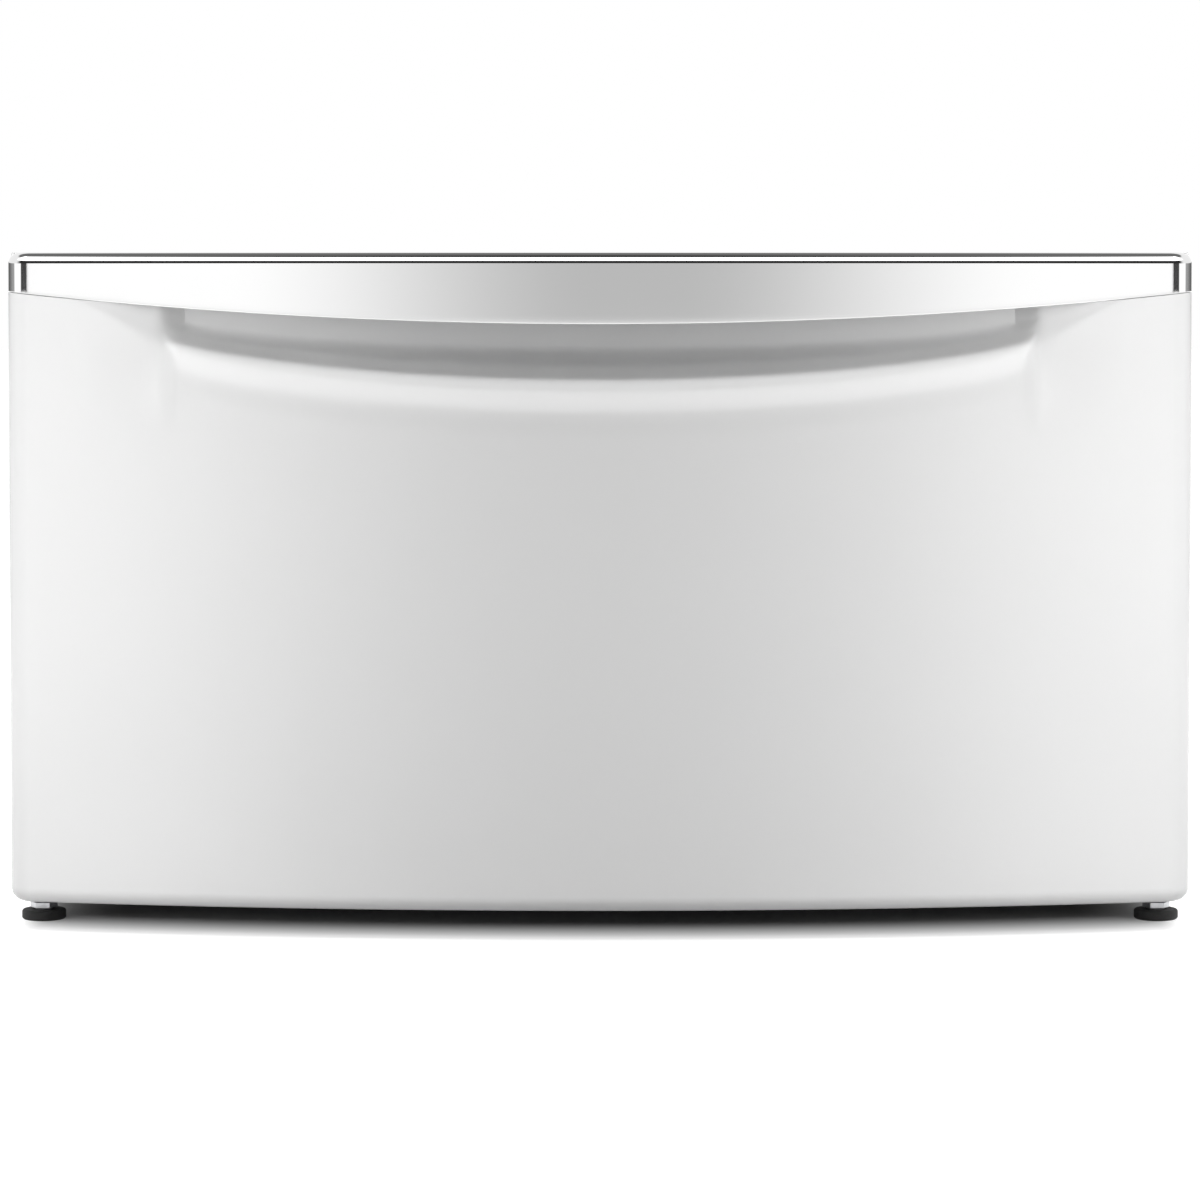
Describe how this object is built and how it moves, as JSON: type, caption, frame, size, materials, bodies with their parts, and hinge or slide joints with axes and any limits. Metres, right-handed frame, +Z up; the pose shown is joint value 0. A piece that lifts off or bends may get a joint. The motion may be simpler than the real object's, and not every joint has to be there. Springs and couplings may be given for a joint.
{
  "type": "washer pedestal drawer",
  "caption": "Steel pedestal that raises a front-loading washer, with a full-width pull-out storage drawer behind a bowed front and chrome pull.",
  "frame": {"origin": "on the floor under the middle of the pedestal's bounding box", "axes": "+Z up, the drawer opens towards -Y, +X is on the right of someone who looks at the front"},
  "size_m": [0.686, 0.684, 0.394],
  "materials": {
    "white_gloss": "gloss moulded front",
    "chrome": "polished plating",
    "white_paint": "baked enamel with fine orange peel",
    "grey_paint": "light grey powder coat",
    "zinc": "zinc plated",
    "nylon": "moulded, unpainted",
    "rubber": "moulded"
  },
  "bodies": {
    "cabinet": {"top_deck": "white_paint", "left_side_panel": "white_paint", "right_side_panel": "white_paint", "rear_panel": "white_paint", "front_header_rail": "zinc", "rear_header_rail": "zinc", "front_base_rail": "zinc", "rear_base_rail": "zinc", "front_left_post": "zinc", "front_right_post": "zinc", "rear_left_post": "zinc", "rear_right_post": "zinc", "front_left_weld_nut": "zinc", "front_right_weld_nut": "zinc", "rear_left_weld_nut": "zinc", "rear_right_weld_nut": "zinc", "front_left_lock_nut": "zinc", "front_right_lock_nut": "zinc", "rear_left_lock_nut": "zinc", "rear_right_lock_nut": "zinc", "left_slide_cabinet_member": "zinc", "right_slide_cabinet_member": "zinc"},
    "drawer": {"drawer_fascia": "white_gloss", "drawer_pull": "chrome", "handle_carrier": "nylon", "drawer_inner_front": "grey_paint", "drawer_left_side": "grey_paint", "drawer_right_side": "grey_paint", "drawer_back": "grey_paint", "drawer_bottom": "grey_paint", "upper_left_fascia_screw": "zinc", "upper_right_fascia_screw": "zinc", "lower_left_fascia_screw": "zinc", "lower_right_fascia_screw": "zinc", "upper_left_bumper": "rubber", "upper_right_bumper": "rubber", "lower_left_bumper": "rubber", "lower_right_bumper": "rubber", "left_slide_drawer_member": "zinc", "right_slide_drawer_member": "zinc"},
    "left_middle_member": {"left_slide_middle_member": "zinc"},
    "right_middle_member": {"right_slide_middle_member": "zinc"},
    "left_outer_cage": {"left_slide_outer_cage": "zinc"},
    "right_outer_cage": {"right_slide_outer_cage": "zinc"},
    "left_inner_cage": {"left_slide_inner_cage": "zinc"},
    "right_inner_cage": {"right_slide_inner_cage": "zinc"},
    "front_left_foot": {"front_left_foot_pad": "rubber", "front_left_foot_stem": "zinc"},
    "front_right_foot": {"front_right_foot_pad": "rubber", "front_right_foot_stem": "zinc"},
    "rear_left_foot": {"rear_left_foot_pad": "rubber", "rear_left_foot_stem": "zinc"},
    "rear_right_foot": {"rear_right_foot_pad": "rubber", "rear_right_foot_stem": "zinc"}
  },
  "joints": [
    {"name": "drawer_slide", "type": "slide", "parent": "cabinet", "child": "drawer", "axis": [0, -1, 0], "range_m": [0, 0.5]},
    {"name": "left_middle_slide", "type": "slide", "parent": "cabinet", "child": "left_middle_member", "axis": [0, -1, 0], "range_m": [0, 0.25]},
    {"name": "right_middle_slide", "type": "slide", "parent": "cabinet", "child": "right_middle_member", "axis": [0, -1, 0], "range_m": [0, 0.25]},
    {"name": "left_outer_cage_roll", "type": "slide", "parent": "cabinet", "child": "left_outer_cage", "axis": [0, -1, 0], "range_m": [0, 0.125]},
    {"name": "right_outer_cage_roll", "type": "slide", "parent": "cabinet", "child": "right_outer_cage", "axis": [0, -1, 0], "range_m": [0, 0.125]},
    {"name": "left_inner_cage_roll", "type": "slide", "parent": "cabinet", "child": "left_inner_cage", "axis": [0, -1, 0], "range_m": [0, 0.375]},
    {"name": "right_inner_cage_roll", "type": "slide", "parent": "cabinet", "child": "right_inner_cage", "axis": [0, -1, 0], "range_m": [0, 0.375]},
    {"name": "front_left_foot_lift", "type": "slide", "parent": "cabinet", "child": "front_left_foot", "axis": [0, 0, -1], "range_m": [0, 0.012]},
    {"name": "front_right_foot_lift", "type": "slide", "parent": "cabinet", "child": "front_right_foot", "axis": [0, 0, -1], "range_m": [0, 0.012]},
    {"name": "rear_left_foot_lift", "type": "slide", "parent": "cabinet", "child": "rear_left_foot", "axis": [0, 0, -1], "range_m": [0, 0.012]},
    {"name": "rear_right_foot_lift", "type": "slide", "parent": "cabinet", "child": "rear_right_foot", "axis": [0, 0, -1], "range_m": [0, 0.012]}
  ],
  "couplings": [
    {"joint": "left_middle_slide", "follows": "drawer_slide", "ratio": 0.5},
    {"joint": "right_middle_slide", "follows": "drawer_slide", "ratio": 0.5},
    {"joint": "left_outer_cage_roll", "follows": "drawer_slide", "ratio": 0.25},
    {"joint": "right_outer_cage_roll", "follows": "drawer_slide", "ratio": 0.25},
    {"joint": "left_inner_cage_roll", "follows": "drawer_slide", "ratio": 0.75},
    {"joint": "right_inner_cage_roll", "follows": "drawer_slide", "ratio": 0.75}
  ]
}
